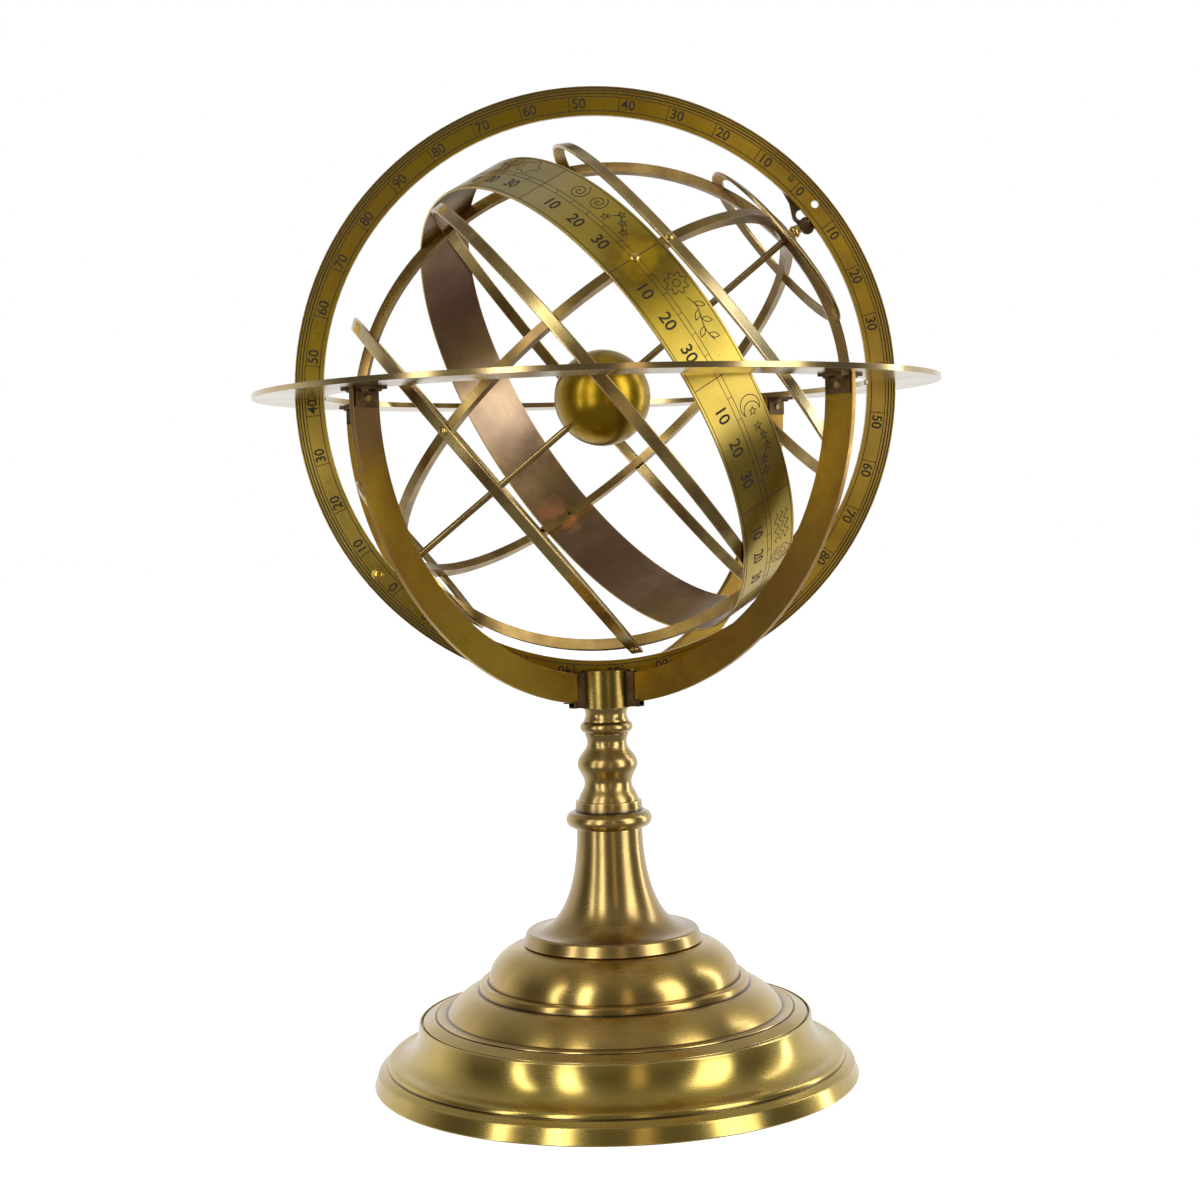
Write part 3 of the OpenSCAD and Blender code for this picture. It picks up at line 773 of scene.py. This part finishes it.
def brass(name, middle, axis, bright, aged, rough, coat=0.4, coat_rough=0.15, grain=0.7,
          fine=3000.0, patina=0.5, patina_size=38.0, specks=0.25, stain=None, ridges=0.03,
          spots=(), detail=5.0):
    """Antique brass brushed round an axis: patina, specks, dark hollows, worn edges, lacquer, and
    listed places of tarnish and painted light.
    """
    material, tree, shader = new_material(name)
    here, radius, height, outward, around = hoop_space(tree, Vector(middle) * MM, axis)
    lines = streaks(tree, radius, height, outward, fine)
    cloud = noise(tree, here, patina_size, detail, 0.6)
    tone = mix(tree, remap(tree, cloud, 0.38, 0.68, 0.0, patina), rgb(*bright), rgb(*aged))
    tone = mix(tree, remap(tree, lines, 0.35, 0.7, 0.0, 0.08), tone, rgb(*aged))
    if stain:
        blot = noise(tree, vec(tree, "ADD", here, (3.1, 1.7, 0.9)), patina_size * 0.55, 4.0, 0.65)
        tone = mix(tree, remap(tree, blot, 0.47, 0.66, 0.0, 0.85), tone, rgb(*stain))
    tone = tarnished(tree, tone, here, spots)
    speck = remap(tree, noise(tree, here, 520.0, 3.0, 0.6), 0.66, 0.74, 0.0, specks)
    tone = mix(tree, speck, tone, rgb(aged[0] * 0.35, aged[1] * 0.28, aged[2] * 0.25))
    tone, dirt = corner_toned(tree, tone)
    shade = math_node(tree, "ADD", remap(tree, cloud, 0.3, 0.7, rough - 0.04, rough + 0.06),
                      remap(tree, lines, 0.3, 0.7, -0.015, 0.02))
    shade = math_node(tree, "ADD", shade, math_node(tree, "MULTIPLY", dirt, 0.25), True)
    world_round = add(tree, "VectorTransform", {0: around}, vector_type="VECTOR",
                      convert_from="OBJECT", convert_to="WORLD").outputs[0]
    for key, value in (("Base Color", tone), ("Roughness", shade),
                       ("Normal", ridged_normal(tree, here, lines, ridges)),
                       ("Tangent", vec(tree, "NORMALIZE", world_round)), ("Metallic", 1.0),
                       ("Anisotropic", grain), ("Anisotropic Rotation", 0.25),
                       ("Coat Weight", coat), ("Coat Roughness", coat_rough),
                       ("Coat IOR", 1.5)):
        feed(tree, shader.inputs[key], value)
    return material


def plain(name, tone, rough, metallic, scale=300.0):
    """Small dark or dull pieces: one tone broken by fine noise."""
    material, tree, shader = new_material(name)
    cloud = noise(tree, add(tree, "TexCoord").outputs["Object"], scale, 4.0, 0.6)
    darker = rgb(tone[0] * 0.55, tone[1] * 0.5, tone[2] * 0.45)
    patches = mix(tree, remap(tree, cloud, 0.35, 0.65, 0.0, 1.0), rgb(*tone), darker)
    bump = add(tree, "Bump", {"Height": cloud, "Strength": 0.15, "Distance": 0.2 * MM})
    for key, value in (("Base Color", patches), ("Normal", bump.outputs[0]),
                       ("Roughness", remap(tree, cloud, 0.3, 0.7, rough - 0.08, rough + 0.1)),
                       ("Metallic", metallic)):
        feed(tree, shader.inputs[key], value)
    return material


def pedestal_looks():
    """Lathe-turned metal, brushed round the upright axis."""
    lathe = ((0, 0, 0), (0, 0, 1))
    return {
        "turned": brass("turned_brass", *lathe, (0.57, 0.41, 0.09), (0.40, 0.265, 0.045), 0.26,
                        coat=0.5, coat_rough=0.18, grain=0.88, ridges=0.012),
        "dome": brass("dome_brass", *lathe, (0.56, 0.385, 0.10), (0.38, 0.235, 0.05), 0.27,
                      coat=0.5, coat_rough=0.2, grain=0.88, patina=0.55, ridges=0.012),
        "trumpet": brass("trumpet_brass", *lathe, (0.44, 0.295, 0.085), (0.28, 0.17, 0.045),
                         0.28, coat=0.7, coat_rough=0.2, grain=0.5, patina=0.6, ridges=0.01),
        "column": brass("column_brass", *lathe, (0.49, 0.34, 0.10), (0.32, 0.20, 0.05), 0.26,
                        coat=0.8, coat_rough=0.2, grain=0.15, patina=0.6, ridges=0.003),
        "post": brass("post_brass", *lathe, (0.27, 0.185, 0.035), (0.17, 0.105, 0.018), 0.26,
                      coat=0.35, coat_rough=0.2, grain=0.1, patina=0.6, ridges=0.003),
        "horizon": brass("horizon_brass", *lathe, (0.54, 0.40, 0.17), (0.36, 0.25, 0.09), 0.2,
                         coat=0.5, grain=0.6),
    }


def cradle_looks():
    """The curved arms and the meridian ring, darker and more blotched than the pedestal."""
    return {
        "arm": brass("arm_brass", (0, 0, ARM_MID_Z), (0, 0, 1), (0.44, 0.27, 0.022),
                     (0.25, 0.125, 0.014), 0.30, coat=0.3, grain=0.1, patina=0.9,
                     patina_size=44, stain=(0.27, 0.135, 0.02), spots=ARM_SPOTS),
        "meridian": brass("meridian_brass", RING_MID, (0, 1, 0), (0.51, 0.345, 0.024),
                          (0.27, 0.155, 0.010), 0.28, coat=0.3, grain=0.3, patina=0.8,
                          patina_size=26, spots=MERIDIAN_TARNISH_AND_HIGHLIGHT),
    }


def cage_looks():
    """Everything that turns on the polar rod."""
    return {
        "cage": brass("cage_brass", CAGE_MID, POLE, (0.52, 0.39, 0.15), (0.25, 0.165, 0.05),
                      0.26, coat=0.15, grain=0.3, fine=4000.0, patina=0.75, patina_size=45,
                      specks=0.08, detail=2.0, stain=(0.20, 0.115, 0.04), ridges=0.003,
                      spots=STRAP_TARNISH_AND_HIGHLIGHT),
        "colure": brass("colure_brass", CAGE_MID, CAGE_Y, (0.42, 0.285, 0.085),
                        (0.20, 0.12, 0.028), 0.27, coat=0.2, grain=0.2, fine=4000.0,
                        patina=0.85, patina_size=50, specks=0.08, detail=2.0,
                        stain=(0.17, 0.10, 0.035), ridges=0.003, spots=COLURE_SPOTS),
        "band": brass("band_brass", CAGE_MID, ZODIAC_POLE, (0.56, 0.40, 0.065),
                      (0.32, 0.23, 0.02), 0.3, coat=0.25, grain=0.4, patina=0.8,
                      patina_size=20, stain=(0.50, 0.33, 0.02), ridges=0.015,
                      spots=BAND_TARNISH_AND_SHEEN),
        "band_inside": brass("band_inside_brass", CAGE_MID, ZODIAC_POLE, (0.42, 0.28, 0.13),
                             (0.15, 0.08, 0.045), 0.3, coat=0.22, grain=0.3, patina=0.95,
                             patina_size=30, stain=(0.28, 0.19, 0.045), ridges=0.01,
                             spots=BAND_INSIDE_TARNISH_AND_REFLECTION),
        "globe": brass("globe_brass", CAGE_MID, POLE, (0.40, 0.25, 0.012),
                       (0.25, 0.14, 0.005), 0.28, coat=0.12, grain=0.15, patina=0.45,
                       patina_size=60, ridges=0.01),
        "bright": brass("bright_brass", CAGE_MID, POLE, (0.66, 0.46, 0.14),
                        (0.33, 0.205, 0.04), 0.22, grain=0.0, fine=5000, patina=0.3,
                        patina_size=300),
        "rivet": brass("rivet_brass", CAGE_MID, POLE, (0.62, 0.44, 0.12), (0.38, 0.25, 0.06),
                       0.24, grain=0.0, fine=5000, patina_size=400),
    }


def small_looks():
    return {
        "fastener": plain("fastener_brass", (0.42, 0.29, 0.10), 0.35, 1.0),
        "dark": plain("dark_brass", (0.16, 0.105, 0.05), 0.45, 1.0, 160.0),
        "steel": plain("steel", (0.45, 0.45, 0.45), 0.35, 1.0),
        "felt": plain("felt", (0.05, 0.045, 0.04), 0.9, 0.0, 900.0),
        "engraved": plain("engraving_fill", (0.035, 0.022, 0.010), 0.55, 0.3, 700.0),
    }


# ---- the CAD nodes that stay as they are ----

SLOT_LOOKS = {
    "turned_brass": "turned", "arm_brass": "arm", "horizon_brass": "horizon",
    "meridian_brass": "meridian", "cage_brass": "cage", "band_brass": "band",
    "globe_brass": "globe", "bright_brass": "bright", "fastener_brass": "fastener",
    "dark_brass": "dark", "steel": "steel", "felt": "felt",
}
# Nodes whose look isn't their slot's own.
NODE_LOOKS = {"post": "post", "colure_main": "colure", "colure_cross": "colure"}
# Width of the small round on each node's edges, in millimetres.
ROUND_EDGES = {
    "post": 0.25, "arm_sockets": 0.3, "arm_front_left": 0.3, "arm_front_right": 0.3,
    "arm_back_right": 0.3, "arm_back_left": 0.3, "angle_brackets": 0.15, "horizon_ring": 0.3,
    "meridian_ring": 0.3, "north_pivot": 0.2, "south_pivot": 0.2, "colure_main": 0.3,
    "colure_cross": 0.3,
}


def round_edges(node, width):
    """Joins the CAD triangles into flat faces and rounds the edges between them."""
    weld = node.modifiers.new("weld", "WELD")
    weld.merge_threshold = 1e-6
    flat = node.modifiers.new("flat", "DECIMATE")
    flat.decimate_type = "DISSOLVE"
    flat.angle_limit = math.radians(0.3)
    bevel = node.modifiers.new("edges", "BEVEL")
    bevel.width = width * MM
    bevel.segments = 2
    bevel.limit_method = "ANGLE"
    bevel.angle_limit = math.radians(35)
    normals = node.modifiers.new("normals", "WEIGHTED_NORMAL")
    normals.keep_sharp = False
    normals.weight = 60


def dress_frame(looks):
    """Gives each CAD node its material and small rounded edges."""
    slots = {part["node"]: part["material_slot"] for part in frame["record"]["subparts"]}
    for name, node in frame["nodes"].items():
        node.data.materials.clear()
        node.data.materials.append(looks[NODE_LOOKS.get(name, SLOT_LOOKS[slots[name]])])
        if name in ROUND_EDGES:
            round_edges(node, ROUND_EDGES[name])


# ---- studio ----

# Camera: place in metres, then the turns in degrees.
CAMERA_PLACE = Vector((-0.02580, -0.91676, 0.25182))
HEADING, PITCH, ROLL = -1.54, -2.49, -1.74
LENS = 62.21

# Soft boxes: azimuth from the front, positive to the right; elevation; width and height in
# metres; power; colour.
SOFT_BOXES = {
    "box_far_left": (-57, 12, 0.25, 2.3, 9, (1, 1, 1)),
    "box_left": (-29, 14, 0.38, 2.4, 16, (1, 1, 1)),
    "box_warm": (10, 8, 0.25, 2.0, 1.8, (1.0, 0.8, 0.55)),
    "box_right": (54, 14, 0.8, 2.4, 24, (1, 1, 1)),
    "box_far_right": (108, 12, 0.25, 2.2, 10, (1, 1, 1)),
    "box_top": (0, 86, 2.0, 2.0, 3, (1, 1, 1)),
}
BOX_DISTANCE, BOX_AIM = 2.2, Vector((0, 0, 0.2))

# The room as the metal sees it: low and level in front, high in front, and behind.
ROOM_LOW, ROOM_LEVEL = (0.24, 0.23, 0.22), (0.085, 0.082, 0.078)
ROOM_HIGH, ROOM_BEHIND = (0.26, 0.253, 0.245), (0.9, 0.9, 0.9)


def make_camera():
    level = Vector((-math.sin(math.radians(HEADING)), math.cos(math.radians(HEADING)), 0))
    c, s = polar(1, PITCH)
    ahead = level * c + Z_AXIS * s
    right = ahead.cross(Z_AXIS).normalized()
    right, top = turned_about(right, right.cross(ahead), ROLL)
    data = bpy.data.cameras.new("camera")
    data.sensor_width = 36
    data.lens = LENS
    data.clip_start = 0.01
    camera = bpy.data.objects.new("camera", data)
    turn = Matrix((right, top, -ahead)).transposed()
    camera.matrix_world = Matrix.Translation(CAMERA_PLACE) @ turn.to_4x4()
    bpy.context.scene.collection.objects.link(camera)
    bpy.context.scene.camera = camera


def make_floor():
    build = bmesh.new()
    bmesh.ops.create_circle(build, cap_ends=True, radius=9.0, segments=96)
    mesh = bpy.data.meshes.new("floor")
    build.to_mesh(mesh)
    build.free()
    floor = bpy.data.objects.new("floor", mesh)
    floor.location = (0, 0, -0.0002)
    bpy.context.scene.collection.objects.link(floor)
    material, tree, shader = new_material("pale_floor")
    for key, value in (("Base Color", rgb(0.9, 0.9, 0.9)), ("Roughness", 0.8),
                       ("Specular IOR Level", 0.1), ("Emission Color", rgb(1, 1, 1)),
                       ("Emission Strength", 0.8)):
        feed(tree, shader.inputs[key], value)
    mesh.materials.append(material)
    floor.visible_glossy = False


def soft_box(name, azimuth, elevation, width, height, power, tone):
    """Area light that faces the object. The camera doesn't see it, but the metal does."""
    a, e = math.radians(azimuth), math.radians(elevation)
    way = Vector((math.sin(a) * math.cos(e), -math.cos(a) * math.cos(e), math.sin(e)))
    data = bpy.data.lights.new(name, "AREA")
    data.shape = "RECTANGLE"
    data.size, data.size_y = width, height
    data.energy = power
    data.color = tone
    lamp = bpy.data.objects.new(name, data)
    lamp.location = way * BOX_DISTANCE + BOX_AIM
    lamp.rotation_euler = way.to_track_quat("Z", "Y").to_euler()
    lamp.visible_camera = False
    bpy.context.scene.collection.objects.link(lamp)


def make_world():
    """White to the camera, and a darker room to the metal."""
    world = bpy.data.worlds.new("studio")
    bpy.context.scene.world = world
    world.use_nodes = True
    tree = world.node_tree
    split = add(tree, "SeparateXYZ", {0: add(tree, "TexCoord").outputs["Generated"]})
    depth, height = split.outputs[1], split.outputs[2]
    behind = math_node(tree, "MULTIPLY", remap(tree, depth, 0.0, 0.5, 0.0, 1.0),
                       remap(tree, height, 0.25, 0.7, 1.0, 0.28))
    front = mix(tree, remap(tree, height, -0.25, 0.15, 0.0, 1.0), rgb(*ROOM_LOW),
                rgb(*ROOM_LEVEL))
    front = mix(tree, remap(tree, height, 0.3, 0.8, 0.0, 1.0), front, rgb(*ROOM_HIGH))
    room = mix(tree, behind, front, rgb(*ROOM_BEHIND))
    seen = add(tree, "LightPath").outputs["Is Camera Ray"]
    tree.links.new(mix(tree, seen, room, rgb(1, 1, 1)), tree.nodes["Background"].inputs["Color"])


make_camera()
make_floor()
make_world()
for box, settings in SOFT_BOXES.items():
    soft_box(box, *settings)
bpy.context.scene.view_settings.view_transform = "Standard"

all_looks = {**pedestal_looks(), **cradle_looks(), **cage_looks(), **small_looks()}
dress_frame(all_looks)
for make in (turned_pieces, strap_pieces, zodiac_hoop, domed_rivets, plug_head,
             meridian_scale, horizon_scale, zodiac_marks):
    make(all_looks)
